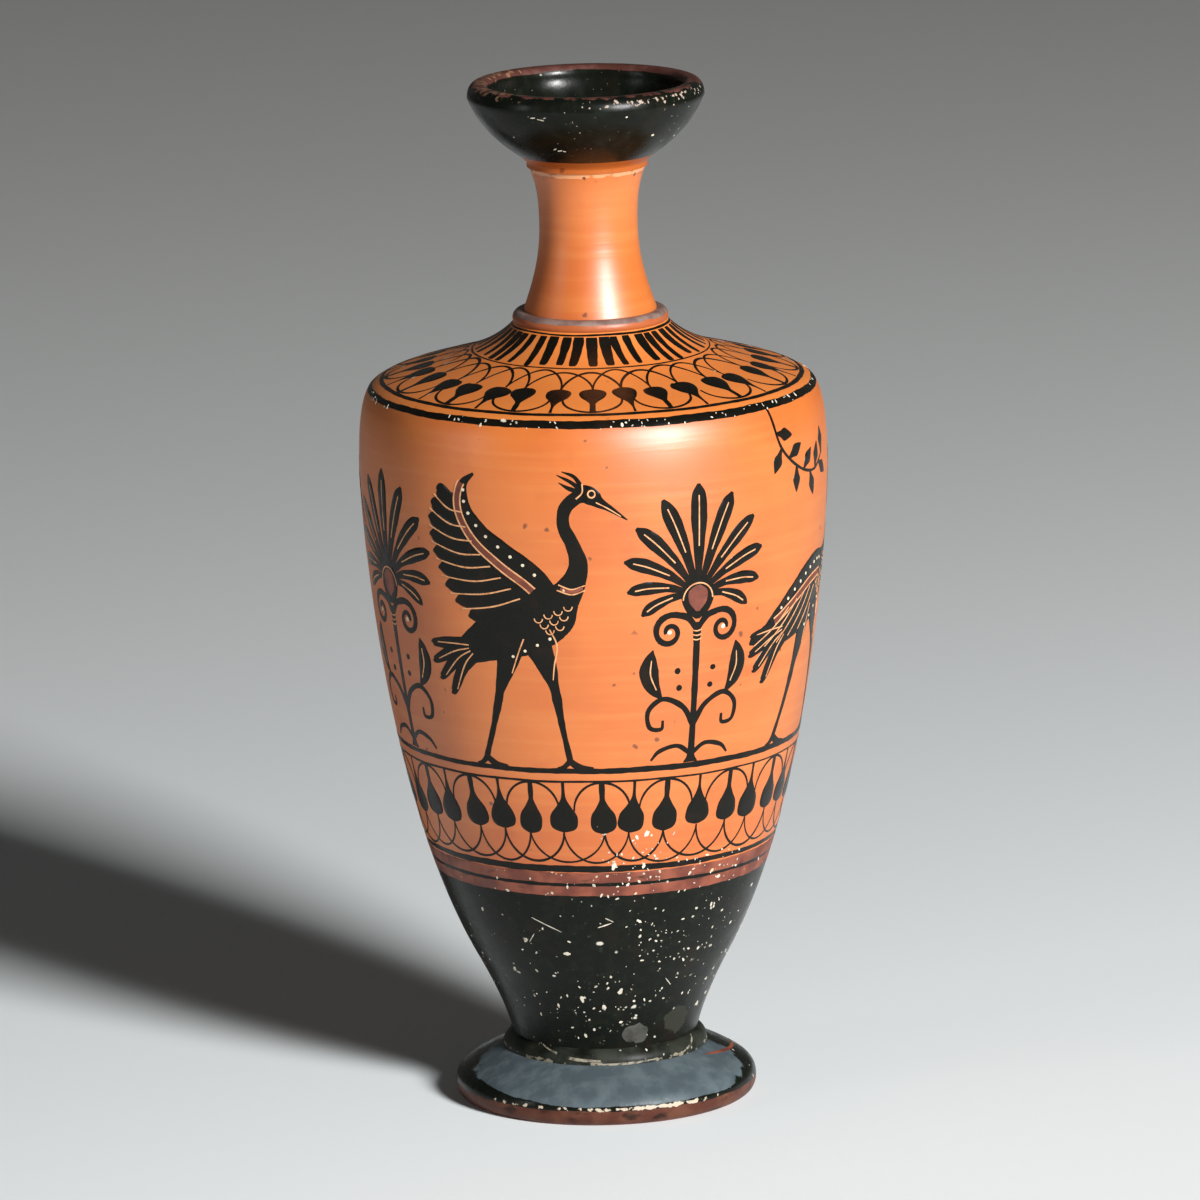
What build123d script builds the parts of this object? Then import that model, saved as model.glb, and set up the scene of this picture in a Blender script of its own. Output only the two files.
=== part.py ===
from build123d import *
import os

# Shoulder lekythos: a clay oil flask thrown in sections that are luted together with slip.
# Lengths are in millimetres. The axis of the wheel is Z, and the foot stands on Z = 0.

# Foot
foot_radius = 36.6
foot_rest_inset = 2.2
foot_rest_width = 8.0
foot_rim_middle = 3.4
foot_brow_inset = 2.8
foot_brow_height = 7.8
foot_height = 12.2
foot_hollow_height = 5.8

# Body
body_height = 162.8
body_base_radius = 22.0
body_flare_radius = 30.4
body_flare_height = 22.3
belly_radius = 56.5
belly_drop = 19.0
shoulder_edge_inset = 2.6
body_wall = 5.0
body_floor = 9.0
peg_radius = 16.0
peg_depth = 2.5

# Roll of clay over the join of body and foot
fillet_width = 3.0
fillet_height = 3.7
fillet_top_width = 1.2

# Shoulder
shoulder_rise = 15.8
shoulder_wall = 5.5
shoulder_brow_width = 5.9
shoulder_brow_rise = 3.2
lip_depth = 3.0
lip_width = 3.0

# Neck and the ring at its base
neck_height = 37.4
neck_bore_radius = 8.5
neck_wall = 3.4
neck_waist_height = 23.2
neck_base_flare = 4.2
neck_top_flare = 2.3
spigot_wall = 3.5
tenon_wall = 2.8
tenon_height = 2.5
ring_width = 2.5
ring_height = 2.6
ring_top_width = 1.1

# Mouth
mouth_height = 20.3
mouth_radius = 28.5
mouth_ledge = 0.4
mouth_collar_height = 1.0
lip_thickness = 5.2
lip_outer_round = 2.3
lip_outer_drop = 3.5
lip_inner_round = 1.7
lip_inner_drop = 2.3
throat_step = 0.7
throat_flare = 0.3
throat_height = 1.0

# Handle
handle_width = 17.0
handle_thickness = 7.6
handle_drop = 11.0
handle_rise = 6.5
handle_fall = 11.5
handle_landing_inset = 12.9
handle_knee_inset = 3.5
handle_top_inset = 14.5
handle_bends = [12.0, 24.0]

# Room left for slip between a peg, lip, spigot or tenon and its socket
luting_gap = 0.15

# Swell of each curve: its two handles, as shares of the curve's radial and vertical span
foot_edge_swell = ((0.77, 0.06), (1.0, 0.53))
foot_rim_swell = ((0.0, 0.41), (0.29, 0.73))
foot_top_swell = ((0.26, 0.34), (0.65, 0.73))
foot_hollow_swell = ((0.45, 0.0), (0.85, 0.45))
flare_swell = ((0.024, 0.215), (0.494, 0.65))
belly_swell = ((0.848, 0.329), (1.0, 0.918))
corner_swell = ((0.0, 0.447), (0.154, 0.816))
floor_swell = ((0.6, 0.0), (0.915, 0.7))
fillet_swell = ((-0.1, 0.45), (0.45, 0.88))
brow_swell = ((0.136, 0.375), (0.49, 0.69))
slope_swell = ((0.356, 0.27), (0.763, 0.381))
ring_swell = ((-0.45, 0.35), (0.1, 1.0))
neck_lower_swell = ((0.452, 0.272), (1.0, 0.563))
neck_upper_swell = ((0.0, 0.458), (0.217, 0.704))
mouth_swell = ((0.05, 0.125), (0.665, 0.3))
lip_outer_swell = ((0.0, 0.57), (0.39, 1.0))
lip_inner_swell = ((0.59, 0.0), (0.94, 0.48))
cup_swell = ((0.007, 0.4), (0.571, 0.818))

# Levels of the seats, up from the table
foot_seat = foot_height
shoulder_seat = foot_seat + body_height
neck_seat = shoulder_seat + shoulder_rise
mouth_seat = neck_seat + neck_height
rim_top = mouth_seat + mouth_height

# Radii where one piece meets the next
foot_seat_radius = body_base_radius + fillet_width
edge_radius = belly_radius - shoulder_edge_inset
rim_inner_radius = edge_radius - body_wall
neck_waist_radius = neck_bore_radius + neck_wall
neck_base_radius = neck_waist_radius + neck_base_flare
neck_top_radius = neck_waist_radius + neck_top_flare
neck_seat_radius = neck_base_radius + ring_width
spigot_radius = neck_bore_radius + spigot_wall
tenon_radius = neck_bore_radius + tenon_wall


def curve(start, end, swell):
    """Cubic curve from start to end, points given as (radius, height), bent by its swell."""
    radial = end[0] - start[0]
    vertical = end[1] - start[1]
    handles = [(start[0] + across * radial, start[1] + up * vertical) for across, up in swell]
    return Bezier(start, *handles, end)


def shoulder_outline(rim, seat_edge):
    """Outside of the shoulder: a rounded brow at the rim, then a hollow slope up to the neck's seat."""
    brow_top = (rim[0] - shoulder_brow_width, rim[1] + shoulder_brow_rise)
    curve(rim, brow_top, brow_swell)
    curve(brow_top, seat_edge, slope_swell)


def neck_outline(base, top):
    """Outside of the neck: upright behind the ring, then in to the waist and out to the top."""
    ring_level = (base[0], base[1] + ring_height)
    waist = (neck_waist_radius, base[1] + neck_waist_height)
    Line(base, ring_level)
    curve(ring_level, waist, neck_lower_swell)
    curve(waist, top, neck_upper_swell)


os.makedirs("parts", exist_ok=True)

# Foot: a disc with a rounded rim, hollow underneath, with a flat seat and a socket for the peg
foot_rest_radius = foot_radius - foot_rest_inset
foot_hollow_radius = foot_rest_radius - foot_rest_width
socket_radius = peg_radius + luting_gap
socket_floor = foot_seat - peg_depth - luting_gap
with BuildPart() as foot:
    with BuildSketch(Plane.XZ):
        with BuildLine():
            rest_edge = (foot_rest_radius, 0)
            rim_middle = (foot_radius, foot_rim_middle)
            brow = (foot_radius - foot_brow_inset, foot_brow_height)
            seat_edge = (foot_seat_radius, foot_seat)
            hollow_edge = (foot_hollow_radius, 0)
            hollow_top = (0, foot_hollow_height)
            Line(hollow_edge, rest_edge)
            curve(rest_edge, rim_middle, foot_edge_swell)
            curve(rim_middle, brow, foot_rim_swell)
            curve(brow, seat_edge, foot_top_swell)
            Polyline(
                seat_edge,
                (socket_radius, foot_seat),
                (socket_radius, socket_floor),
                (0, socket_floor),
                hollow_top,
            )
            curve(hollow_top, hollow_edge, foot_hollow_swell)
        make_face()
    revolve(axis=Axis.Z)
foot.part.label = "foot"

# Body: a tapering wall on a thick floor, with a peg below and a flat rim above
with BuildPart() as body:
    with BuildSketch(Plane.XZ):
        with BuildLine():
            base_edge = (body_base_radius, foot_seat)
            flare = (body_flare_radius, foot_seat + body_flare_height)
            belly = (belly_radius, shoulder_seat - belly_drop)
            rim = (edge_radius, shoulder_seat)
            inner_rim = (rim[0] - body_wall, rim[1])
            inner_belly = (belly[0] - body_wall, belly[1])
            inner_flare = (flare[0] - body_wall, flare[1])
            floor_centre = (0, foot_seat + body_floor)
            Polyline(
                floor_centre,
                (0, foot_seat - peg_depth),
                (peg_radius, foot_seat - peg_depth),
                (peg_radius, foot_seat),
                base_edge,
            )
            curve(base_edge, flare, flare_swell)
            curve(flare, belly, belly_swell)
            curve(belly, rim, corner_swell)
            Line(rim, inner_rim)
            curve(inner_belly, inner_rim, corner_swell)
            curve(inner_flare, inner_belly, belly_swell)
            curve(floor_centre, inner_flare, floor_swell)
        make_face()
    revolve(axis=Axis.Z)
body.part.label = "body"

# Foot fillet: a low roll of clay lying on the foot's seat and pressed against the body
with BuildPart() as foot_fillet:
    with BuildSketch(Plane.XZ):
        with BuildLine():
            roll_edge = (foot_seat_radius, foot_seat)
            roll_top = (body_base_radius + fillet_top_width, foot_seat + fillet_height)
            curve(roll_edge, roll_top, fillet_swell)
            Polyline(
                roll_top,
                (body_base_radius - fillet_top_width, foot_seat + fillet_height),
                (body_base_radius - fillet_top_width, foot_seat),
                roll_edge,
            )
        make_face()
    revolve(axis=Axis.Z)
    add(body.part, mode=Mode.SUBTRACT)
foot_fillet.part.label = "foot_fillet"

# Shoulder: a sloping cover on the body's rim, with a lip inside the rim and a hole for the neck
lip_outer_radius = rim_inner_radius - luting_gap
hole_radius = spigot_radius + luting_gap
with BuildPart() as shoulder:
    with BuildSketch(Plane.XZ):
        with BuildLine():
            rim = (edge_radius, shoulder_seat)
            seat_edge = (neck_seat_radius, neck_seat)
            lip_bottom = (lip_outer_radius - lip_width, shoulder_seat - lip_depth)
            under_seat = (neck_seat_radius, neck_seat - shoulder_wall)
            shoulder_outline(rim, seat_edge)
            Polyline(
                seat_edge,
                (hole_radius, neck_seat),
                (hole_radius, neck_seat - shoulder_wall),
                under_seat,
            )
            curve(lip_bottom, under_seat, slope_swell)
            Polyline(
                lip_bottom,
                (lip_outer_radius, shoulder_seat - lip_depth),
                (lip_outer_radius, shoulder_seat),
                rim,
            )
        make_face()
    revolve(axis=Axis.Z)
shoulder.part.label = "shoulder"

# Neck: a flared tube with a spigot in the shoulder's hole and a tenon in the mouth's socket
with BuildPart() as neck:
    with BuildSketch(Plane.XZ):
        with BuildLine():
            base = (neck_base_radius, neck_seat)
            top = (neck_top_radius, mouth_seat)
            neck_outline(base, top)
            Polyline(
                top,
                (tenon_radius, mouth_seat),
                (tenon_radius, mouth_seat + tenon_height),
                (neck_bore_radius, mouth_seat + tenon_height),
                (neck_bore_radius, neck_seat - shoulder_wall),
                (spigot_radius, neck_seat - shoulder_wall),
                (spigot_radius, neck_seat),
                base,
            )
        make_face()
    revolve(axis=Axis.Z)
neck.part.label = "neck"

# Neck ring: a bead lying on the shoulder's seat, close round the base of the neck
ring_inner_radius = neck_base_radius + luting_gap
with BuildPart() as neck_ring:
    with BuildSketch(Plane.XZ):
        with BuildLine():
            ring_edge = (neck_seat_radius, neck_seat)
            ring_top = (neck_base_radius + ring_top_width, neck_seat + ring_height)
            curve(ring_edge, ring_top, ring_swell)
            Polyline(
                ring_top,
                (ring_inner_radius, neck_seat + ring_height),
                (ring_inner_radius, neck_seat),
                ring_edge,
            )
        make_face()
    revolve(axis=Axis.Z)
neck_ring.part.label = "neck_ring"

# Mouth: a cup with a thick rounded lip, seated on the neck, with a socket for the neck's tenon
mouth_base_radius = neck_top_radius + mouth_ledge
mouth_socket_radius = tenon_radius + luting_gap
mouth_socket_top = mouth_seat + tenon_height + luting_gap
throat_radius = neck_bore_radius + throat_step
with BuildPart() as mouth:
    with BuildSketch(Plane.XZ):
        with BuildLine():
            collar = (mouth_base_radius, mouth_seat + mouth_collar_height)
            widest = (mouth_radius, rim_top - lip_outer_drop)
            crown_outer = (mouth_radius - lip_outer_round, rim_top)
            lip_inner = (mouth_radius - lip_thickness, rim_top - lip_inner_drop)
            crown_inner = (lip_inner[0] + lip_inner_round, rim_top)
            cup_floor = (throat_radius + throat_flare, mouth_socket_top + throat_height)
            curve(collar, widest, mouth_swell)
            curve(widest, crown_outer, lip_outer_swell)
            Line(crown_outer, crown_inner)
            curve(crown_inner, lip_inner, lip_inner_swell)
            curve(lip_inner, cup_floor, cup_swell)
            Polyline(
                cup_floor,
                (throat_radius, mouth_socket_top),
                (mouth_socket_radius, mouth_socket_top),
                (mouth_socket_radius, mouth_seat),
                (mouth_base_radius, mouth_seat),
                collar,
            )
        make_face()
    revolve(axis=Axis.Z)
mouth.part.label = "mouth"

# Outside of shoulder and neck as one filled form, which trims the two ends of the handle
with BuildPart() as landing_form:
    with BuildSketch(Plane.XZ):
        with BuildLine():
            rim = (edge_radius, shoulder_seat)
            seat_edge = (neck_seat_radius, neck_seat)
            base = (neck_base_radius, neck_seat)
            top = (neck_top_radius, mouth_seat)
            shoulder_outline(rim, seat_edge)
            Line(seat_edge, base)
            neck_outline(base, top)
            Polyline(
                top,
                (0, mouth_seat),
                (0, shoulder_seat - handle_width),
                (edge_radius, shoulder_seat - handle_width),
                rim,
            )
        make_face()
    revolve(axis=Axis.Z)

# Handle: a pulled strap from the back of the neck, over a rounded knee, down to the shoulder
handle_landing = edge_radius - handle_landing_inset
handle_root = mouth_seat - handle_drop
handle_crest = handle_root + handle_rise
with BuildPart() as handle:
    with BuildLine(Plane.YZ) as handle_path:
        FilletPolyline(
            (0, handle_root),
            (handle_landing - handle_top_inset, handle_crest),
            (handle_landing - handle_knee_inset, handle_crest - handle_fall),
            (handle_landing, shoulder_seat),
            radius=handle_bends,
        )
    with BuildSketch(Plane(handle_path.line @ 0, x_dir=(1, 0, 0), z_dir=handle_path.line % 0)):
        Ellipse(handle_width / 2, handle_thickness / 2)
    sweep(path=handle_path.line)
    add(landing_form.part, mode=Mode.SUBTRACT)
handle.part.label = "handle"

for piece in (foot, foot_fillet, body, shoulder, neck, neck_ring, mouth, handle):
    export_step(piece.part, f"parts/{piece.part.label}.step")
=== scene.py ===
import math

import bpy
import numpy as np
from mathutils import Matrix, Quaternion, Vector


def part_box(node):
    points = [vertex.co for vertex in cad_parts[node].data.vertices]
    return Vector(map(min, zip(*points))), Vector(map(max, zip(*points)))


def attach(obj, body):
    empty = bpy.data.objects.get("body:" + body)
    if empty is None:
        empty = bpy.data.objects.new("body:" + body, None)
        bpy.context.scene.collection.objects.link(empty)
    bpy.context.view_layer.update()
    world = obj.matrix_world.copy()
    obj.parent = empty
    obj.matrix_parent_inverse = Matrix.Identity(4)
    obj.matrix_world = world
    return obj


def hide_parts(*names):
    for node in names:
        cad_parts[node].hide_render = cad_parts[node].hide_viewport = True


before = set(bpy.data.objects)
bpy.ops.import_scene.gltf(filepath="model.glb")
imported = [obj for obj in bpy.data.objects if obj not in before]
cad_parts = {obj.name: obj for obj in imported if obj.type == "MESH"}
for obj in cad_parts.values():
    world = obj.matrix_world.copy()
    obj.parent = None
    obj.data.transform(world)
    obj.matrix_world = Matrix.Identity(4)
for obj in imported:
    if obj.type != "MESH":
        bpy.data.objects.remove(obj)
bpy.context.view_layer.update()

# Foot: a thrown disc of red clay with a rounded rim, hollow underneath, with a socket for the body's peg.
# It was coated with black gloss slip, which misfired to a dull grey in front and wore off along the rim.
mm = 0.001
foot_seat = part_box("foot")[1].z
foot_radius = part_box("foot")[1].x
foot_rest = (foot_radius - 2.2 * mm, 0.0)
foot_rim = (foot_radius, 3.4 * mm)
foot_brow = (foot_radius - 2.8 * mm, 7.8 * mm)
foot_seat_edge = (25.0 * mm, foot_seat)
foot_socket = (16.15 * mm, foot_seat - 2.65 * mm)
foot_hollow_edge = (26.4 * mm, 0.0)
foot_hollow_top = (0.0, 5.8 * mm)
foot_top_swell = ((0.26, 0.34), (0.65, 0.73))
waver_depth = 0.14 * mm


def swelling(start, end, swell, count):
    """Cubic from start to end in (radius, height): its two handles stand at the given shares of the radial
    and vertical span, and each point is the cubic's four points weighted by Bernstein's polynomials."""
    t = np.linspace(0.0, 1.0, count)[:, None]
    start, end = np.array(start), np.array(end)
    first, last = (start + np.array(share) * (end - start) for share in swell)
    return (1 - t) ** 3 * start + 3 * (1 - t) ** 2 * t * first + 3 * (1 - t) * t**2 * last + t**3 * end


def outline_of(*stretches):
    """Stretches of an outline set end to end, with the doubled point at each join left out."""
    return np.vstack([stretches[0]] + [stretch[1:] for stretch in stretches[1:]])


def straight(*corners):
    """Straight stretches of an outline through its corners, with five points to each stretch."""
    return outline_of(*(np.linspace(start, end, 5) for start, end in zip(corners, corners[1:])))


def waver(angle, height):
    """Unevenness of hand-thrown clay, off the radius: two slow waves round the axis, turned by height."""
    twice, thrice = np.sin(2 * angle + 21 * height), np.sin(3 * angle - 34 * height)
    return waver_depth * (0.5 + 0.3 * twice + 0.2 * thrice)


def skinned(grid, looped):
    """Points and faces of a grid whose columns close round the shape. Looped rows close as well; otherwise
    a fan of triangles about the middle of the first and of the last row closes each end."""
    rows, columns = grid.shape[:2]
    index = np.arange(rows * columns).reshape(rows, columns)
    beside = np.roll(index, -1, axis=1)
    ahead, ahead_beside = np.roll(index, -1, axis=0), np.roll(beside, -1, axis=0)
    quads = np.stack([index, beside, ahead_beside, ahead], axis=-1)
    if looped:
        return grid.reshape(-1, 3), [quads.reshape(-1, 4)]
    points = np.vstack([grid.reshape(-1, 3), grid[[0, -1]].mean(axis=1)])
    middle = np.full(columns, rows * columns)
    first = np.stack([beside[0], index[0], middle], axis=-1)
    last = np.stack([index[-1], beside[-1], middle + 1], axis=-1)
    return points, [quads[:-1].reshape(-1, 4), first, last]


def turned(outline, looped, steps=224):
    """Surface of revolution: outline point (r, z) goes to (r sin a, -r cos a, z) for evenly spaced angles a,
    less the hand's waver, at most r / 50. An outline up the outside and down the inside faces outwards."""
    angle = np.arange(steps) * (2 * math.pi / steps)
    height = outline[:, 1:] + 0 * angle
    radius = outline[:, :1] - np.minimum(waver(angle, height), 0.02 * outline[:, :1])
    return skinned(np.stack([radius * np.sin(angle), -radius * np.cos(angle), height], axis=-1), looped)


def shaped(name, points, faces, finish):
    """Mesh object at the origin from arrays of points and faces, smooth but for edges over 35 degrees."""
    mesh = bpy.data.meshes.new(name)
    mesh.from_pydata(points.tolist(), [], [face for sheet in faces for face in sheet.tolist()])
    mesh.shade_smooth()
    mesh.set_sharp_from_angle(angle=math.radians(35))
    mesh.materials.append(finish)
    thing = bpy.data.objects.new(name, mesh)
    bpy.context.scene.collection.objects.link(thing)
    return thing


def piece(name, points, faces, finish, slot, *nodes):
    """Object of such a mesh that rides on the flask and stands for the nodes; its slot is not used."""
    thing = shaped(name, points, faces, finish)
    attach(thing, "root")
    if nodes:
        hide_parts(*nodes)


def linear(colour):
    """Linear RGBA of an sRGB hex colour: the standard's power curve, with its straight toe."""
    parts = [int(colour[i:i + 2], 16) / 255 for i in (1, 3, 5)]
    return [c / 12.92 if c <= 0.04045 else ((c + 0.055) / 1.055) ** 2.4 for c in parts] + [1.0]


def finish_named(name):
    """New material, its surface shader, and the Object coordinates that its patterns read."""
    material = bpy.data.materials.new(name)
    material.use_nodes = True
    nodes = material.node_tree.nodes
    shader = nodes["Principled BSDF"]
    shader.inputs["IOR"].default_value = 1.5
    return material, shader, nodes.new("ShaderNodeTexCoord").outputs["Object"]


def add(kind, inputs, out=0, **settings):
    """Adds one node to the tree of the sockets that it reads: settings go to its properties and inputs to
    its sockets, linked where they are sockets themselves. Returns one of its outputs."""
    tree = next(value.id_data for value in inputs.values() if isinstance(value, bpy.types.NodeSocket))
    node = tree.nodes.new("ShaderNode" + kind)
    for name, value in settings.items():
        setattr(node, name, value)
    for name, value in inputs.items():
        if isinstance(value, bpy.types.NodeSocket):
            tree.links.new(value, node.inputs[name])
        else:
            node.inputs[name].default_value = value
    return node.outputs[out]


def both(*shares):
    """Product of shares: where all of them hold."""
    held = shares[0]
    for share in shares[1:]:
        held = add("Math", {0: held, 1: share}, operation="MULTIPLY")
    return held


def layered(colour, *coats):
    """Coats laid over a colour one after another: each is an sRGB hex and the shares by whose product it
    covers what lies below."""
    for coat, *shares in coats:
        colour = add("Mix", {0: both(*shares), 6: colour, 7: linear(coat)}, 2, data_type="RGBA")
    return colour


def mottle(place, size, low, high, stretch=(1, 1, 1)):
    """Cloudy share between 0 and 1: noise of a size in metres, cut between a low and a high level."""
    spread = add("Mapping", {"Vector": place, "Scale": [s / size for s in stretch]})
    noise = add("TexNoise", {"Vector": spread, "Scale": 1.0, "Detail": 3.0})
    cut = {"Value": noise, "From Min": low, "From Max": high}
    return add("MapRange", cut, interpolation_type="SMOOTHSTEP")


def ramp(place, axis, start, end, low=0.0, high=1.0):
    """Value that goes from low to high between two levels along an axis, and stays the same beyond them."""
    spans = {"From Min": start, "From Max": end, "To Min": low, "To Max": high}
    return add("MapRange", {"Value": add("SeparateXYZ", {0: place}, axis), **spans})


def between(place, axis, low, high, soft):
    """Share that is 1 between two levels along an axis and fades to 0 over a soft length outside them."""
    return both(ramp(place, axis, low - soft, low), ramp(place, axis, high + soft, high))


def ragged(share, place, size, amount):
    """The same share with a torn edge: noise of a size in metres moves its half-way line."""
    noise = add("TexNoise", {"Vector": place, "Scale": 1 / size, "Detail": 4.0})
    moved = add("Math", {0: noise, 1: amount, 2: share}, operation="MULTIPLY_ADD")
    middle, soft = 0.5 + 0.5 * amount, 0.06
    edge = {"Value": moved, "From Min": middle - soft, "From Max": middle + soft}
    return add("MapRange", edge, interpolation_type="SMOOTHSTEP")


def flecks(place, spacing, share, radius, density):
    """Ragged dots: in each Voronoi cell of a given spacing, a dot whose radius depends on the cell's own
    random number. Only a share of the cells have one, and density scales their radius."""
    noise = add("TexNoise", {"Vector": place, "Scale": 1.6 / spacing, "Detail": 2.0}, "Color")
    moved = add("VectorMath", {0: noise, 1: [0.45 * spacing] * 3, 2: place}, operation="MULTIPLY_ADD")
    apart = add("TexVoronoi", {"Vector": moved, "Scale": 1 / spacing}, "Distance")
    lot = add("SeparateColor", {0: apart.node.outputs["Color"]})
    size = add("MapRange", {"Value": lot, "From Min": 1 - share, "To Max": radius / spacing})
    depth = add("Math", {0: both(size, density), 1: apart}, operation="SUBTRACT")
    return add("MapRange", {"Value": depth, "From Max": 0.08}, interpolation_type="SMOOTHSTEP")


def gloss_slip(shader, place, wear):
    """Black gloss slip: iron-rich clay fired to a greenish black, browner where it is thin, with cream
    flecks where it has flaked, more of them to the right. Returns its colour, roughness and the flecks."""
    thin = mottle(place, 9 * mm, 0.52, 0.78)
    haze = mottle(place, 3 * mm, 0.45, 0.8)
    black = layered(linear("#0E110C"), ("#1D1711", thin), ("#171B14", haze))
    patches = mottle(place, 16 * mm, 0.3, 0.56)
    density = both(patches, ramp(place, "X", -30 * mm, 20 * mm, 0.55, 1.1), wear)
    large = flecks(place, 4.6 * mm, 0.5, 1.05 * mm, density)
    small = flecks(place, 2.1 * mm, 0.5, 0.6 * mm, density)
    dust = flecks(place, 1.1 * mm, 0.3, 0.3 * mm, density)
    worn = add("Math", {0: large, 1: small}, operation="MAXIMUM")
    rough = add("MapRange", {"Value": mottle(place, 5 * mm, 0.3, 0.7), "To Min": 0.2, "To Max": 0.33})
    rough = add("Mix", {0: worn, 2: rough, 3: 0.75})
    shader.inputs["Specular IOR Level"].default_value = 0.16
    return layered(black, ("#84857A", dust, 0.5), ("#C6C2B4", worn)), rough, worn


def surfaced(shader, place, colour, rough, relief, depth):
    """Joins a finish to its shader. Roughness is a socket, or (share, low, high) to spread a share from low
    to high. Relief is a bump that many metres deep, sunk where depth is negative, over a raised clay grain.
    Real grains are about 0.1 mm; they are drawn at 0.8 mm so that they show."""
    if isinstance(rough, tuple):
        rough = add("MapRange", dict(zip(("Value", "To Min", "To Max"), rough)))
    sunk = depth < 0
    grain = add("TexNoise", {"Vector": place, "Scale": 1 / (0.8 * mm), "Detail": 4.0})
    height = add("Math", {0: grain, 1: -0.25 if sunk else 0.25, 2: relief}, operation="MULTIPLY_ADD")
    bump = add("Bump", {"Height": height, "Distance": abs(depth), "Strength": 0.6}, invert=sunk)
    for name, socket in (("Base Color", colour), ("Roughness", rough), ("Normal", bump)):
        shader.id_data.links.new(socket, shader.inputs[name])


# Black gloss of the foot: shiny behind and at the sides, a dull blue-grey misfired patch in front, and the
# red clay laid bare along the rim and underneath, with cream where the slip chipped at the rim's edge.
# The cream is densest at the front right of the rim, where it is partly a painted highlight of the glossy
# rim.
foot_gloss, shader, place = finish_named("black_gloss_foot")
colour, rough, worn = gloss_slip(shader, place, 0.55)
climb = ramp(place, "X", -12 * mm, -34 * mm, 0.0, 2.2 * mm)
above = add("Math", {0: add("SeparateXYZ", {0: place}, "Z"), 1: climb}, operation="SUBTRACT")
top = add("MapRange", {"Value": above, "From Min": 4.3 * mm, "From Max": 5.5 * mm})
patch = both(ramp(place, "Y", 6 * mm, -8 * mm), between(place, "X", -27 * mm, 28 * mm, 8 * mm), top)
misfired = ragged(patch, place, 5 * mm, 0.9)
veil = mottle(place, 5 * mm, 0.35, 0.7)
scorch = mottle(place, 4 * mm, 0.52, 0.68, (0.6, 0.6, 1.4))
rim_bare = ragged(between(place, "Z", 0.6 * mm, 3.2 * mm, 1.3 * mm), place, 5 * mm, 0.6)
rim_edge = both(between(place, "Z", 4.1 * mm, 4.5 * mm, 0.7 * mm), ramp(place, "Y", -16 * mm, -30 * mm))
# Chips along the front of the rim, denser at the front right, where the cream is partly a painted highlight.
rim_rub_and_highlight = between(place, "X", 7 * mm, 19 * mm, 6 * mm)
rim_rub_and_highlight = add("MapRange", {"Value": rim_rub_and_highlight, "To Min": 0.42, "To Max": 0.62})
chipped = ragged(both(rim_edge, rim_rub_and_highlight), place, 1.5 * mm, 1.7)
inward = add("VectorMath", {0: place, 1: [1.0, 1.0, 0.0]}, operation="MULTIPLY")
inward = add("VectorMath", {0: inward}, "Value", operation="LENGTH")
hollow = add("MapRange", {"Value": inward, "From Min": 26.6 * mm, "From Max": 26.2 * mm})
hollow = both(hollow, ramp(place, "Z", 6.6 * mm, 6.2 * mm))
under = add("Math", {0: ramp(place, "Z", 0.35 * mm, 0.1 * mm), 1: hollow}, operation="MAXIMUM")
colour = layered(
    colour,
    ("#454F54", misfired),
    ("#5D686B", misfired, veil, 0.6),
    ("#4F2B21", rim_bare),
    ("#6A4433", rim_bare, veil, 0.6),
    ("#1F1611", rim_bare, scorch, 0.8),
    # cream of the chips, at the front right partly a painted highlight
    ("#BBAC99", chipped),
    ("#A9562F", under),
    ("#8B4124", under, veil, 0.5),
)
dull = add("Math", {0: misfired, 1: rim_bare}, operation="MAXIMUM")
dull = add("Math", {0: dull, 1: under}, operation="MAXIMUM")
rough = add("Mix", {0: dull, 2: rough, 3: 0.42})
flaked = add("Math", {0: both(misfired, veil), 1: worn}, operation="SUBTRACT")
surfaced(shader, place, colour, rough, flaked, 0.2 * mm)
foot_outline = outline_of(
    swelling(foot_hollow_top, foot_hollow_edge, ((0.45, 0.0), (0.85, 0.45)), 26)[1:],
    straight(foot_hollow_edge, foot_rest),
    swelling(foot_rest, foot_rim, ((0.77, 0.06), (1.0, 0.53)), 12),
    swelling(foot_rim, foot_brow, ((0.0, 0.41), (0.29, 0.73)), 14),
    swelling(foot_brow, foot_seat_edge, foot_top_swell, 20),
    straight(foot_seat_edge, (foot_socket[0], foot_seat), foot_socket),
)
piece("foot_disc", *turned(foot_outline, False), foot_gloss, "black_gloss", "foot")

# Foot fillet: a low roll of clay pressed into the corner of body and foot and wiped with a wet finger.
# Its gloss is a thin olive film, and along its lower edge the slip has flaked to the pale clay.
roll_edge = foot_seat_edge
roll_top = (22.3 * mm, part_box("foot_fillet")[1].z)
roll_back = 20.8 * mm
press_share = 0.006
roll_gloss, shader, place = finish_named("black_gloss_fillet")
smear = mottle(place, 7 * mm, 0.36, 0.62)
hem = between(place, "Z", foot_seat, foot_seat + 0.7 * mm, 0.6 * mm)
flaked = ragged(both(hem, 0.4), place, 3 * mm, 1.7)
colour = layered(gloss_slip(shader, place, 0.8)[0], ("#30332B", smear, 0.8), ("#7F7868", flaked))
surfaced(shader, place, colour, (smear, 0.4, 0.56), flaked, -0.2 * mm)
roll_face = swelling(roll_edge, roll_top, ((-0.02, 0.4), (0.36, 0.86)), 16)
roll_hidden = straight(roll_top, (roll_back, roll_top[1]), (roll_back, foot_seat), roll_edge)
roll_points, roll_faces = turned(outline_of(roll_face, roll_hidden)[:-1], True)
roll_turn = np.arctan2(roll_points[:, 0], -roll_points[:, 1])
presses = np.sin(5 * roll_turn + 0.6) + 0.7 * np.sin(9 * roll_turn + 2.0) + 0.5 * np.sin(17 * roll_turn)
roll_points[:, :2] *= (1 - press_share * (1 + 0.45 * presses))[:, None]
piece("foot_roll", roll_points, roll_faces, roll_gloss, "black_gloss", "foot_fillet")

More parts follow.
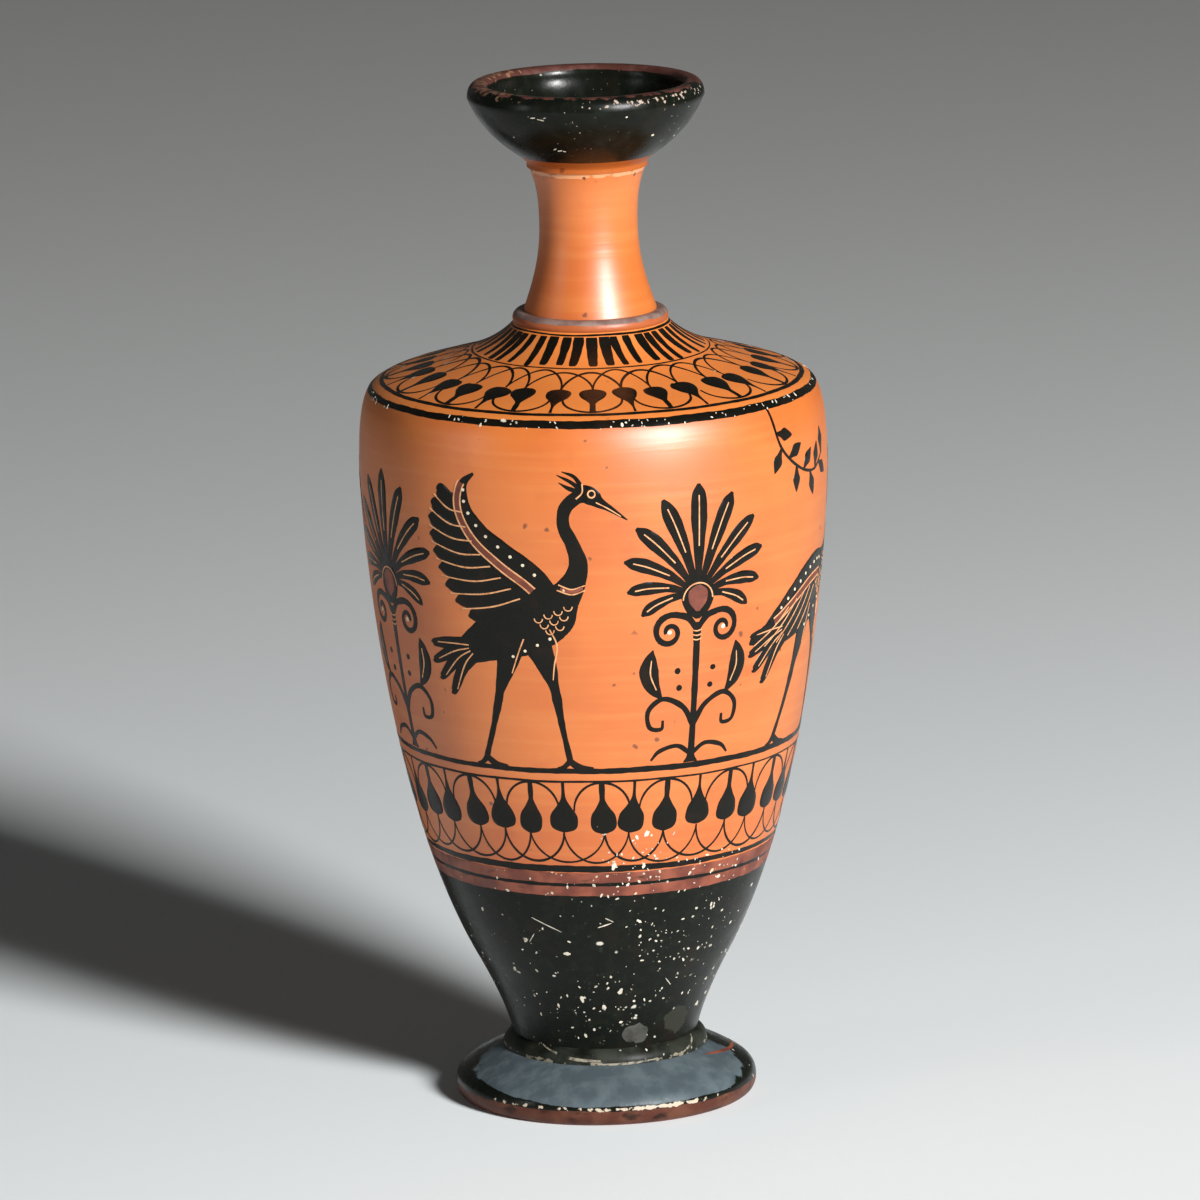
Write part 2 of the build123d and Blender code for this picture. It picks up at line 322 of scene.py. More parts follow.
# Body: a thrown tapering wall of orange clay on a thick floor, with a peg in the foot's socket.
# It was burnished on the wheel before painting, which leaves faint rings and a soft shine.
body_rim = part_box("body")[1].z
belly_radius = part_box("body")[1].x
rim_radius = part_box("shoulder")[1].x
body_wall = 5.0 * mm
slip_depth = 0.13 * mm
body_base = (22.0 * mm, foot_seat)
body_flare = (30.4 * mm, foot_seat + 22.3 * mm)
body_belly = (belly_radius, body_rim - 19.0 * mm)
body_edge = (rim_radius, body_rim)
body_floor = (0.0, foot_seat + 9.0 * mm)
peg_radius = 16.0 * mm
peg_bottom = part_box("body")[0].z
flare_swell = ((0.024, 0.215), (0.494, 0.65))
belly_swell = ((0.848, 0.329), (1.0, 0.918))
corner_swell = ((0.0, 0.447), (0.154, 0.816))
clay_relief = 0.05 * mm


def offset_by(outline, distance):
    """Outline moved outwards square to itself: (r, z) steps turned a quarter to (dz, -dr)."""
    step = np.gradient(outline, axis=0)
    return outline + distance * np.stack([step[:, 1], -step[:, 0]], axis=1) / np.hypot(*step.T)[:, None]


def bare_clay(shader, place):
    """Burnished clay fired orange: clouds of lighter and redder clay, faint rings from the wheel, dark grit.
    Returns its colour, roughness and the rings."""
    clouds = mottle(place, 34 * mm, 0.34, 0.68)
    rings = mottle(place, 2.4 * mm, 0.42, 0.75, (0.05, 0.05, 1.0))
    stains = mottle(place, 10 * mm, 0.6, 0.85)
    grit = flecks(place, 5.0 * mm, 0.3, 0.9 * mm, 1.0)
    colour = layered(
        linear("#C66B2B"),
        ("#BA5D22", clouds),
        ("#CF803F", rings, 0.3),
        ("#A44A22", stains, 0.45),
        ("#5B2B16", grit, 0.8),
    )
    shader.inputs["Specular IOR Level"].default_value = 0.9
    return colour, add("MapRange", {"Value": clouds, "To Min": 0.39, "To Max": 0.46}), rings


orange_clay, shader, place = finish_named("burnished_orange_clay")
surfaced(shader, place, *bare_clay(shader, place), clay_relief)
body_outline = outline_of(
    swelling(body_base, body_flare, flare_swell, 26),
    swelling(body_flare, body_belly, belly_swell, 80),
    swelling(body_belly, body_edge, corner_swell, 26),
)
clay_outline = offset_by(body_outline, -slip_depth)
inner_flare, inner_belly, inner_rim = (
    (point[0] - body_wall, point[1]) for point in (body_flare, body_belly, body_edge)
)
cavity = outline_of(
    swelling(inner_belly, inner_rim, corner_swell, 14)[::-1],
    swelling(inner_flare, inner_belly, belly_swell, 30)[::-1],
    swelling(body_floor, inner_flare, ((0.6, 0.0), (0.915, 0.7)), 14)[::-1],
)
shell = outline_of(
    straight((peg_radius, peg_bottom), (peg_radius, foot_seat), clay_outline[0]),
    clay_outline,
    straight(clay_outline[-1], cavity[0]),
    cavity,
)
piece("body_wall", *turned(shell[:-1], False), orange_clay, "painted_clay", "body")

# Gloss coat: the lower body was dipped in thick black slip up to the ornament. It shines greenish black,
# with cream flecks where it has flaked, most of them low down and to the right, and one dull smear.
coat_top = 64.1 * mm
coat_depth = 0.3 * mm
film_lift = 0.05 * mm
gloss_relief = -0.15 * mm
smear_middle = (16 * mm, -16 * mm, 22 * mm)
coat_gloss, shader, place = finish_named("black_gloss_coat")
colour, rough, worn = gloss_slip(shader, place, ramp(place, "Z", 60 * mm, 25 * mm, 0.75, 1.25))
scuffs = mottle(place, 1.6 * mm, 0.66, 0.8)
near = add("VectorMath", {0: place, 1: smear_middle}, "Value", operation="DISTANCE")
near = add("MapRange", {"Value": near, "From Min": 6.2 * mm, "From Max": 2.0 * mm})
smear = ragged(near, place, 2.4 * mm, 1.1)
colour = layered(colour, ("#4A4C43", scuffs, 0.4), ("#33342C", smear, 0.8))
rough = add("Mix", {0: smear, 2: rough, 3: 0.5})
surfaced(shader, place, colour, rough, worn, gloss_relief)
coated = clay_outline[clay_outline[:, 1] < coat_top]
coat_film = np.vstack([offset_by(coated, film_lift), offset_by(coated, -coat_depth)[::-1]])
piece("gloss_coat", *turned(coat_film, True), coat_gloss, "black_gloss")

# Painted lines round the body: drawn with a loaded brush while the flask turned on the wheel.
# They frame the picture field and the band of buds; the lines are thicker where the brush was fuller.
hand = np.random.default_rng(17)
ground_level = 90.7 * mm
bud_line_level = 88.0 * mm
loop_line_level = 65.3 * mm
edge_sink = 0.05 * mm


def paintable(measure, outline):
    """Wall to paint on, as rows of: its measure, radius, height, outward direction in radius and height, and
    the length of outline to each unit of the measure."""
    step = np.gradient(outline, axis=0)
    length = np.hypot(*step.T)
    out = np.stack([step[:, 1], -step[:, 0]], axis=1) / length[:, None]
    return np.column_stack([measure, outline, out, length / np.gradient(measure)])


def laid_on(wall, angle, along, lift):
    """Points on a painted wall at an angle from the front and a place along its measure, off by a lift."""
    radius, height, out_radius, out_height = (np.interp(along, wall[:, 0], wall[:, k]) for k in (1, 2, 3, 4))
    radius = radius - waver(angle, height) + lift * out_radius
    return np.stack([radius * np.sin(angle), -radius * np.cos(angle), height + lift * out_height], axis=-1)


def brushed(wall, stroke, lift, looped):
    """Film of paint along a stroke of (angle, place along the wall, half width): each row of points runs
    square across the stroke, and its edges sink into the clay. Its tremble is three sines of the way."""
    angle, along, half = stroke.T
    radius, stretch = (np.interp(along, wall[:, 0], wall[:, k]) for k in (1, 5))
    run, rise = np.gradient(angle) * radius, np.gradient(along) * stretch
    size = np.maximum(np.hypot(run, rise), 1e-9)
    way = np.cumsum(size)
    shake = hand.uniform(0.0, 2 * math.pi, 3)
    tremble = 0.6 * np.sin(way / (1.1 * mm) + shake[0]) + 0.4 * np.sin(way / (0.5 * mm) + shake[1])
    half = half + np.minimum(0.1 * half, 0.08 * mm) * tremble
    along = along + 0.05 * mm * np.sin(way / (3.1 * mm) + shake[2])
    inner = np.linspace(-0.92, 0.92, 2 + int(half.max() / (0.6 * mm)))
    across = np.concatenate([[-1.0], inner, [1.0]])
    film = np.where(np.abs(across) == 1, -edge_sink, lift * (1 + 0.2 * math.sin(shake[0])))
    angle = angle[:, None] + (rise / size * half / radius)[:, None] * across
    along = along[:, None] - (run / size * half / stretch)[:, None] * across
    return skinned(laid_on(wall, angle, along, film), looped)


def painted(name, wall, strokes, lift, finish, slot, looped=False):
    """One piece of many strokes of the same paint on the same wall."""
    points, faces, count = [], [], 0
    for stroke in strokes:
        film, sheets = brushed(wall, stroke, lift, looped)
        points.append(film)
        faces += [sheet + count for sheet in sheets]
        count += len(film)
    piece(name, np.vstack(points), faces, finish, slot)


def round_the_wall(along, half, swell=0.12, rows=600):
    """Stroke once round the axis whose width swells slowly as the brush empties and is filled again."""
    angle = np.linspace(-math.pi, math.pi, rows, endpoint=False)
    once = swell * np.sin(angle + hand.uniform(0, 6.28))
    twice = swell * np.sin(2 * angle + hand.uniform(0, 6.28))
    return np.column_stack([angle, np.full(rows, along), half * (1 + once + twice)])


# Black gloss laid on by brush: deep black where it is thick, dark brown where it ran thin, with pinholes
# that show the clay. It stands a little proud of the clay and shines more.
brush_black, shader, place = finish_named("black_gloss_brushed")
thin = mottle(place, 6 * mm, 0.5, 0.75)
streaks = mottle(place, 1.4 * mm, 0.55, 0.8)
holes = flecks(place, 3.0 * mm, 0.2, 0.5 * mm, mottle(place, 18 * mm, 0.4, 0.65))
colour = layered(linear("#100F0B"), ("#1F1610", thin, 0.8), ("#181813", streaks, 0.5), ("#D2B48F", holes))
shader.inputs["Specular IOR Level"].default_value = 0.2
surfaced(shader, place, colour, (mottle(place, 4 * mm, 0.3, 0.7), 0.24, 0.36), holes, -0.08 * mm)
body_side = paintable(clay_outline[:, 1], clay_outline)
body_lines = [
    round_the_wall(ground_level, 0.75 * mm),
    round_the_wall(bud_line_level, 0.27 * mm),
    round_the_wall(loop_line_level, 0.65 * mm, 0.25),
]
painted("body_lines", body_side, body_lines, film_lift, brush_black, "black_gloss", looped=True)

# Red bands: two stripes of red slip laid over the top of the black coat, with a line of black left between.
# The red is thin and matt, worn through to black and orange in places.
band_levels = (62.9 * mm, 59.4 * mm)
band_half = 1.5 * mm
red_lift = 0.075 * mm
added_red, shader, place = finish_named("added_red_slip")
patches = mottle(place, 7 * mm, 0.4, 0.66)
worn_through = mottle(place, 2.2 * mm, 0.6, 0.78, (0.5, 0.5, 1.0))
chips = flecks(place, 3.4 * mm, 0.26, 0.8 * mm, mottle(place, 20 * mm, 0.36, 0.6))
colour = layered(
    linear("#652F20"), ("#8C4A34", patches, 0.9), ("#2B1B14", worn_through, 0.8), ("#E0BC93", chips)
)
surfaced(shader, place, colour, (mottle(place, 4 * mm, 0.3, 0.7), 0.45, 0.6), patches, 0.06 * mm)
red_bands = [round_the_wall(level, band_half, 0.05) for level in band_levels]
painted("red_bands", body_side, red_bands, red_lift, added_red, "added_purple", looped=True)

# Chain of buds round the body: closed lotus buds hang from a thin line, every second one under an arch,
# and thin loops link each bud with the next but one. All are drawn free-hand, so no two are alike.
bud_profile = (
    (0.0, 0.12), (0.2, 0.11), (0.36, 0.24), (0.5, 0.54), (0.62, 0.85), (0.74, 1.0), (0.86, 0.98),
    (0.95, 0.74), (1.0, 0.2),
)
knob_profile = ((1.0, 0.7, 0.3), (1.5, 0.8, 0.45), (1.6, 0.9, 0.3), (1.2, 0.98, 0.1))
bud_count = 36
bulb_level = 74.6 * mm
loop_level = 66.5 * mm
bud_half = 3.4 * mm
loop_half = 0.3 * mm


def through(points, rows):
    """Smooth path through given rows of numbers: between two neighbours it is the Catmull-Rom cubic,
    which takes its slope at each point from the points on both sides."""
    p = np.array(points, float)
    p = np.vstack([2 * p[0] - p[1], p, 2 * p[-1] - p[-2]])
    t = np.linspace(0, len(points) - 1, rows)
    i = np.minimum(t.astype(int), len(points) - 2)
    t = (t - i)[:, None]
    a, b, c, d = p[i], p[i + 1], p[i + 2], p[i + 3]
    return b + 0.5 * t * (c - a + t * (2 * a - 5 * b + 4 * c - d + t * (3 * (b - c) + d - a)))


def flowing(points, rows):
    """Such a path as a stroke: its last column, the half widths, stays above a twentieth of the widest."""
    path = through(points, rows)
    path[:, -1] = np.maximum(path[:, -1], 0.05 * np.abs(path[:, -1]).max())
    return path


def arch(start_angle, end_angle, base, crown, half, rows=22):
    """Half an ellipse as a stroke from one angle to another, with its feet at base and its top at crown."""
    turn = np.linspace(-0.5 * math.pi, 0.5 * math.pi, rows)
    middle, reach = 0.5 * (start_angle + end_angle), 0.5 * (end_angle - start_angle)
    width = half * (0.75 + 0.35 * np.cos(turn))
    return np.column_stack([middle + reach * np.sin(turn), base + (crown - base) * np.cos(turn), width])


def bud_chain(count, stems, bulbs, loops, half, line):
    """Strokes of a chain: buds from the level of the stems to that of the bulbs, arches over every second
    stem, and loops from bulb to next bulb but one that reach the third level."""
    pitch = 2 * math.pi / count
    place = pitch * (np.arange(count + 2) + np.tile(hand.uniform(-0.07, 0.07, count), 2)[:count + 2])
    lean = np.tile(hand.normal(0.0, 0.1, count), 2)[:count + 2] * pitch
    drop = bulbs - stems
    strokes = []
    for k in range(count):
        share, width = flowing(bud_profile, 30).T
        full = half * hand.uniform(0.85, 1.1)
        width = np.where(share < 0.5, np.maximum(width, 0.1 if k % 2 else 0.22), width)
        long = drop * hand.uniform(0.94, 1.04)
        strokes.append(np.column_stack([place[k] + lean[k] * share**2, stems + long * share, full * width]))
        if hand.uniform() < 0.3:
            side = hand.choice([-1, 1]) * 0.5 * half / belly_radius
            knob = flowing(np.array(knob_profile) * (side, 1, 1), 9) * (1, long, full)
            strokes.append(knob + (place[k] + lean[k], stems, 0))
        if k % 2 == 0:
            feet = place[k] - 0.82 * pitch, place[k] + 0.82 * pitch
            strokes.append(arch(*feet, stems + 0.56 * drop, stems + 0.02 * drop, line))
        ends = place[[k, k + 2]] + lean[[k, k + 2]]
        reach = loops + (loops - bulbs) * hand.uniform(-0.1, 0.02)
        strokes.append(arch(*ends, bulbs - 0.04 * drop, reach, line * hand.uniform(0.8, 1.1)))
    return strokes


body_buds = bud_chain(bud_count, bud_line_level, bulb_level, loop_level, bud_half, loop_half)
painted("body_buds", body_side, body_buds, film_lift, brush_black, "black_gloss")

# Picture field: a procession of long-legged birds and palmettes in black on the bare clay, all round.
# Feathers, eyes and veins are scratched through the black, and touches of red and white are laid over it.
frieze_count = 4
frieze_start = -0.36
palmette_step = 46.0 * mm / belly_radius
scratch_lift = 0.085 * mm
white_lift = 0.095 * mm


def dab(x, y, radius, rows=7):
    """Round dab as a stroke: as wide as it is long, its half width a half circle of the way across."""
    t = np.cos(np.linspace(math.pi, 0.0, rows))
    return np.column_stack([x + radius * t, np.full(rows, y), np.maximum(radius * np.sqrt(1 - t**2), 0.02)])


def bow(x, y, radius, start, sweep, half, rows=17):
    """Arc of a circle as a stroke, from a start angle over a sweep."""
    turn = start + np.linspace(0.0, sweep, rows)
    return np.column_stack([x + radius * np.cos(turn), y + radius * np.sin(turn), np.full(rows, half)])


def sides_of(path):
    """Steps along a path of (x, y), and unit directions square to them on the left, (-dy, dx)."""
    step = np.gradient(path, axis=0)
    return step, np.stack([-step[:, 1], step[:, 0]], axis=1) / np.hypot(*step.T)[:, None]


def crane(raised):
    """Strokes of a striding bird facing right, in millimetres from the ground below its middle, for black,
    scratched lines, red and white. Its wing is raised like a sickle or folded along its back."""
    if raised:
        neck = [(10.5, 41.0, 5.0), (14.4, 46.2, 3.3), (16.2, 51.4, 2.35), (14.9, 56.4, 1.8),
                (12.9, 60.8, 1.6), (13.3, 65.0, 1.6), (16.0, 67.7, 1.7), (18.6, 68.2, 1.6)]
        head, nod = np.array([18.9, 68.2]), -0.5
        edge = [(9.5, 43.0, 2.6), (4.5, 48.5, 3.2), (-2.0, 53.0, 3.2), (-8.5, 58.0, 2.9), (-12.6, 64.0, 2.2),
                (-12.6, 69.6, 1.3), (-9.6, 72.6, 0.3)]
        roots = [(5.5, 42.5), (2.5, 46.0), (-2.0, 49.5), (-6.5, 53.5), (-10.0, 58.5), (-12.0, 64.0)]
        tips = [(-13.0, 37.5), (-18.5, 43.0), (-21.5, 49.5), (-23.2, 56.0), (-23.2, 62.5), (-20.4, 68.4)]
        feathers, wide = 9, 2.5
    else:
        neck = [(10.5, 40.4, 5.0), (15.8, 43.0, 3.5), (20.4, 46.6, 2.4), (22.4, 51.0, 1.85),
                (20.6, 55.2, 1.65), (18.9, 58.6, 1.6), (20.6, 61.6, 1.65), (22.8, 61.6, 1.6)]
        head, nod = np.array([23.0, 61.4]), -0.75
        edge = [(10.5, 41.5, 2.4), (5.5, 42.6, 3.4), (-1.5, 41.4, 3.2), (-9.0, 38.0, 2.6),
                (-16.5, 33.6, 1.7), (-22.0, 30.4, 0.5)]
        roots = [(6.5, 38.5), (3.5, 39.5), (-1.0, 39.0), (-6.0, 37.4), (-11.0, 35.2)]
        tips = [(-3.0, 28.4), (-9.5, 27.6), (-16.0, 26.6), (-22.0, 26.4), (-26.4, 27.8)]
        feathers, wide = 6, 2.0
    turn = np.array([[math.cos(nod), math.sin(nod)], [-math.sin(nod), math.cos(nod)]])

    def on_head(points, rows):
        """Stroke given ahead of and above the eye, turned by the nod."""
        points = np.array(points)
        return flowing(np.column_stack([head + points[:, :2] @ turn, points[:, 2]]), rows)

    # Body and tail feathers.
    body = [(15.8, 41.6, 0.5), (13.6, 41.0, 4.2), (9.0, 39.2, 6.9), (2.0, 36.4, 7.7), (-5.0, 33.4, 6.5),
            (-11.0, 30.6, 4.7), (-16.0, 28.2, 3.0), (-20.0, 26.2, 1.2)]
    black, cut, red, white = [flowing(body, 34)], [], [], []
    for x, y in ((-26.0, 29.4), (-26.2, 25.2), (-24.4, 21.4), (-21.0, 18.2)):
        mid = (-10 + 0.52 * (x + 10), 31 + 0.46 * (y - 31))
        quill = (0.4 * mid[0] - 6.5, 0.4 * mid[1] + 18.2, 0.15)
        black.append(flowing([(-8.0, 31.0, 1.8), (*mid, 1.75), (x + 0.9, y + 0.2, 1.1), (x, y, 0.25)], 18))
        cut.append(flowing([quill, (*mid, 0.18), (x + 2, y + 0.5, 0.12)], 9))

    # The neck swings forward in an S, and the head, beak and crest follow the nod of its end.
    skull = [(-3.4, -0.2, 0.8), (-1.2, 0.2, 2.1), (1.2, 0.1, 2.15), (3.2, -0.3, 1.3), (6.0, -0.4, 0.85),
             (11.0, -0.9, 0.12)]
    black += [flowing(neck, 36), on_head(skull, 26)]
    for lift, reach in ((1.9, 8.2), (0.7, 8.8), (-0.5, 7.6)):
        plume = [(-2.0, 0.5 * lift, 0.55), (-5.0, 1.3 * lift, 0.5), (-reach, 1.1 * lift, 0.1)]
        black.append(on_head(plume, 12))
    cut += [
        bow(*(head + np.array([0.5, 0.75]) @ turn), 0.85, 0.0, 2 * math.pi, 0.19),
        on_head([(2.4, -0.6, 0.15), (5.5, -0.55, 0.15), (9.2, -0.8, 0.1)], 9),
        on_head([(-2.6, 1.9, 0.17), (-1.6, 0.0, 0.18), (-2.2, -2.0, 0.17)], 9),
    ]

    # Legs with feathered thighs, bent back at the heel, and three toes each.
    front_leg = [(4.6, 33.0, 3.9), (7.2, 27.0, 2.7), (9.0, 21.4, 1.35), (9.7, 17.8, 1.2), (10.8, 10.5, 0.75),
                 (12.4, 2.4, 0.8)]
    back_leg = [(-1.6, 31.6, 3.7), (-3.6, 25.4, 2.5), (-5.6, 20.2, 1.3), (-6.6, 16.8, 1.15),
                (-9.0, 9.8, 0.75), (-12.0, 2.6, 0.8)]
    black += [flowing(front_leg, 30), flowing(back_leg, 30)]
    for heel, toes in ((12.3, (6.4, 3.4, -3.6)), (-11.9, (6.2, 3.2, -3.4))):
        for toe in toes:
            tip = (heel + toe, 0.75, 0.2)
            black.append(flowing([(heel, 2.6, 0.8), (heel + 0.45 * toe, 1.15, 0.62), tip], 10))
    cut.append(flowing([(8.6, 35.5, 0.17), (10.3, 31.5, 0.18), (9.4, 26.6, 0.17), (8.9, 23.0, 0.13)], 14))
    cut.append(flowing([(1.8, 33.0, 0.17), (0.0, 29.0, 0.17), (-1.9, 24.2, 0.13)], 12))

    # The wing: a stout leading edge, and long feathers that fan out from it to the tips.
    edge, roots, tips = flowing(edge, 40), through(roots, feathers), through(tips, feathers)
    black.append(edge)
    for root, tip in zip(roots, tips):
        mid, near = 0.5 * (root + tip) - (0.6, 0.9), 0.12 * root + 0.88 * tip
        black.append(flowing([(*root, wide), (*mid, wide), (*near, 0.75 * wide), (*tip, 0.3)], 18))
    for root, tip in zip(0.5 * (roots[1:] + roots[:-1]), 0.5 * (tips[1:] + tips[:-1])):
        mid, near = 0.5 * (root + tip) - (0.6, 0.9), 0.84 * root + 0.16 * tip
        cut.append(flowing([(*near, 0.17), (*mid, 0.2), (*tip, 0.14)], 12))
    inset, side = edge[4:34], sides_of(edge[:, :2])[1][4:34]
    for off, half, paint in ((0.35, 0.2, cut), (-1.5, 0.2, cut), (-0.55, 0.72, red)):
        paint.append(np.column_stack([inset[:, :2] + side * (inset[:, 2:] + off), np.full(30, half)]))
    white += [dab(x + 0.5, y + 0.8, 0.42) for x, y in edge[6:31:3, :2]]

    # Collar at the root of the neck, scales on the breast and a row of dots below.
    x, y = neck[1][:2]
    for up in (0.0, 1.3):
        back = (x - 3.6 + 0.3 * up, y - 0.9 + up, 0.17)
        cut.append(flowing([back, (x, y - 2.0 + up, 0.18), (x + 3.3, y - 1.0 + up, 0.17)], 10))
    red.append(flowing([(x - 2.7, y - 0.6, 0.42), (x + 0.1, y - 1.3, 0.44), (x + 2.7, y - 0.4, 0.42)], 10))
    for row in range(3):
        for column in range(4 - row):
            scale = (13.4 - 2.5 * column - 1.1 * row, 41.2 - 1.0 * column - 2.4 * row)
            cut.append(bow(*scale, 1.05, math.pi, math.pi, 0.14, 9))
    white += [dab(8.6 - 3.3 * k, 33.2 - 1.6 * k, 0.4) for k in range(4)]
    return black, cut, red, white


def palmette():
    """Strokes of an upright palmette on a stalk, in millimetres from its root. Petals fan out from a heart:
    a petal's length shrinks and its lean grows with its share of the fan. The sides are mirrored."""
    black, cut, white = [], [], []
    heart = 42.0
    for share in np.linspace(-1.0, 1.0, 11):
        way = np.array([0.16, 0.45, 0.72, 0.9, 1.0])
        length = 27.5 - 12.5 * abs(share) ** 1.35
        lean = 1.78 * share * (0.72 + 0.3 * way)
        half = (2.25 - 0.75 * abs(share)) * np.array([0.34, 0.68, 1.0, 0.86, 0.2])
        petal = np.column_stack([length * way * np.sin(lean), heart + length * way * np.cos(lean), half])
        black.append(flowing(petal, 22))
        cut.append(flowing(petal[1:4] * (1, 1, 0) + (0, 0, 0.17), 8))
    core = [(0, heart - 5.4, 0.6), (0, heart - 3.4, 3.2), (0, heart, 4.4), (0, heart + 3.2, 3.4),
            (0, heart + 5, 0.6)]
    stalk = [(0, 0.8, 1.9), (0, 4, 0.95), (0, 18, 0.85), (0, 30, 0.95), (0, heart - 6.2, 1.2)]
    blush = [(0, heart - 3.6, 0.5), (0, heart - 1.4, 2.4), (0, heart + 1.2, 2.6), (0, heart + 2.9, 0.6)]
    black += [flowing(core, 20), flowing(stalk, 26)]
    cut.append(bow(0.0, heart - 0.6, 4.0, 0.0, math.pi, 0.18))
    for y in (31.3, 32.4, 33.5):
        cut.append(flowing([(-1.2, y + 0.3, 0.15), (0, y, 0.17), (1.2, y + 0.3, 0.15)], 5))

    # Right half of what is mirrored: volute, tendril, leaf, root shoot and two dots.
    t = np.linspace(0.0, 1.0, 30)
    curl, reach = math.pi * (0.62 - 2.7 * t), 4.6 - 3.7 * t**0.8
    across, up = reach * np.cos(curl), reach * np.sin(curl)
    volute = np.column_stack([7.4 + across, heart - 8.2 + up, 0.85 - 0.3 * t])
    stem = flowing([(0.4, heart - 7.6, 0.8), (2.6, heart - 4.9, 0.85), volute[0]], 9)
    tendril = [(0.2, 10.5, 0.75), (3.2, 15.0, 0.72), (8.6, 17.4, 0.68), (12.6, 14.6, 0.62),
               (12.2, 10.4, 0.58), (9.0, 9.8, 0.5), (8.6, 12.0, 0.35)]
    leaf = [(9.2, 17.4, 0.4), (11.6, 20.6, 1.9), (12.6, 24.2, 2.5), (12.2, 27.6, 1.5), (11.6, 29.8, 0.15)]
    half_plant = [
        np.vstack([stem[:-1], volute]),
        flowing(tendril, 34),
        flowing(leaf, 18),
        flowing([(0.3, 3.0, 0.6), (4.2, 5.2, 0.6), (9.2, 4.2, 0.55), (11.6, 2.0, 0.3)], 16),
        dab(4.4, 19.8, 0.8),
        dab(5.0, 24.0, 0.8),
    ]
    vein = flowing([(10.6, 19.8, 0.14), (12.2, 23.6, 0.18), (12.0, 27.2, 0.12)], 9)
    for side in (-1, 1):
        black += [stroke * (side, 1, 1) for stroke in half_plant]
        cut.append(vein * (side, 1, 1))
        white.append(dab(side * 7.4, heart - 8.2, 0.6))
    return black, cut, [flowing(blush, 14)], white


def ivy():
    """Strokes of an ivy spray that hangs from the line above, in millimetres: a bent stem, and leaves that
    stand off it to one side and the other in turn."""
    stem = [(-19.4, 84.4, 0.4), (-16.5, 74.4, 0.42), (-9.0, 68.4, 0.4), (-0.5, 66.4, 0.36),
            (6.0, 69.6, 0.25)]
    black = [flowing(stem, 40)]
    path = black[0][:, :2]
    step, side = sides_of(path)
    for order, row in enumerate(range(6, 40, 4)):
        out = side[row] * (-1) ** order + 0.5 * step[row] / np.hypot(*step[row])
        leaf = ((0.0, 0.3), (1.6, 0.9), (3.0, 1.7), (4.6, 1.0), (5.8, 0.12))
        black.append(flowing([(*(path[row] + far * out), half) for far, half in leaf], 14))
    return black, [], [], []


def on_frieze(strokes, centre):
    """Strokes in millimetres set on the body round a centre angle, with the ground line as their floor."""
    return [stroke * (mm / belly_radius, mm, mm) + (centre, ground_level, 0) for stroke in strokes]


def two_toned(name, size, cut, base, tone, share, rough, depth):
    """Matt finish of a base colour clouded with another tone: noise of a size, cut at two levels, sets the
    tone's cover, the roughness between two values and the relief."""
    finish, shader, place = finish_named(name)
    cloud = mottle(place, size, *cut)
    surfaced(shader, place, layered(linear(base), (tone, cloud, share)), (cloud, *rough), cloud, depth)
    return finish


# Scratched lines: a point drawn through the dry black bares the pale clay. A groove of a tenth of a
# millimetre is finer than this mesh, so each line is a film of its own.
scratched = two_toned(
    "scratched_clay_line", 1.6 * mm, (0.45, 0.7), "#D89C6C", "#A9683C", 0.7, (0.6, 0.75), 0.03 * mm
)

# Added white: chalky clay slip in dabs, worn thin so that the black shows through.
added_white = two_toned(
    "added_white_slip", 1.2 * mm, (0.5, 0.75), "#DCCDB2", "#8C7C66", 0.6, (0.6, 0.8), 0.03 * mm
)

frieze = [[], [], [], []]
for turn in range(frieze_count):
    centre = frieze_start + turn * 2 * math.pi / frieze_count
    motifs = [(crane(turn % 2 == 0), centre), (palmette(), centre + palmette_step)]
    if turn % 2:
        motifs.append((ivy(), centre))
    for motif, angle in motifs:
        for paint, strokes in zip(frieze, motif):
            paint += on_frieze(strokes, angle)
painted("frieze_black", body_side, frieze[0], film_lift, brush_black, "black_gloss")
painted("frieze_scratched", body_side, frieze[1], scratch_lift, scratched, "painted_clay")
painted("frieze_red", body_side, frieze[2], red_lift, added_red, "added_purple")
painted("frieze_white", body_side, frieze[3], white_lift, added_white, "painted_clay")

# Wear of body and foot: chips where the slip has flaked to the pale clay, dense on the lower right, a few
# scratches, a loss filled with grey putty, rubbed breaks in the fillet, and a rub of red on the foot.
chip_lift = 0.105 * mm
putty_lift = 0.09 * mm
break_lift = -0.02 * mm
chip_fields = (
    (0.15, 0.95, 28 * mm, 54 * mm, 90),
    (-0.35, 0.3, 18 * mm, 36 * mm, 36),
    (-0.95, -0.2, 24 * mm, 54 * mm, 30),
    (0.0, 1.0, 57 * mm, 68 * mm, 60),
    (0.0, 0.42, 62 * mm, 75 * mm, 46),
    (-1.0, 0.0, 58 * mm, 64 * mm, 26),
    (1.0, 5.3, 18 * mm, 62 * mm, 110),
)
scratches = (
    (-0.37, 50.0, 4.0, 0.16, -0.45), (0.01, 50.2, 1.8, 0.2, 0.35), (0.04, 51.6, 1.1, 0.16, -0.5),
    (-0.26, 42.3, 0.9, 0.55, 0.0), (-0.5, 46.0, 1.6, 0.14, 0.9), (0.55, 33.0, 1.5, 0.15, -0.8),
)
putty_fills = ((0.31, 19.6, 3.3, 2.7, 0.15), (0.36, 18.4, 2.0, 2.0, 0.0))
roll_breaks = (
    ((-0.74, 0.98, 0.12), (-0.5, 0.62, 0.28), (-0.3, 0.36, 0.4), (-0.05, 0.3, 0.2)),
    ((-0.1, 0.08, 0.15), (0.12, 0.05, 0.35), (0.34, 0.1, 0.3), (0.5, 0.16, 0.1)),
    ((0.86, 0.2, 0.12), (1.0, 0.5, 0.3), (1.14, 0.95, 0.12)),
)
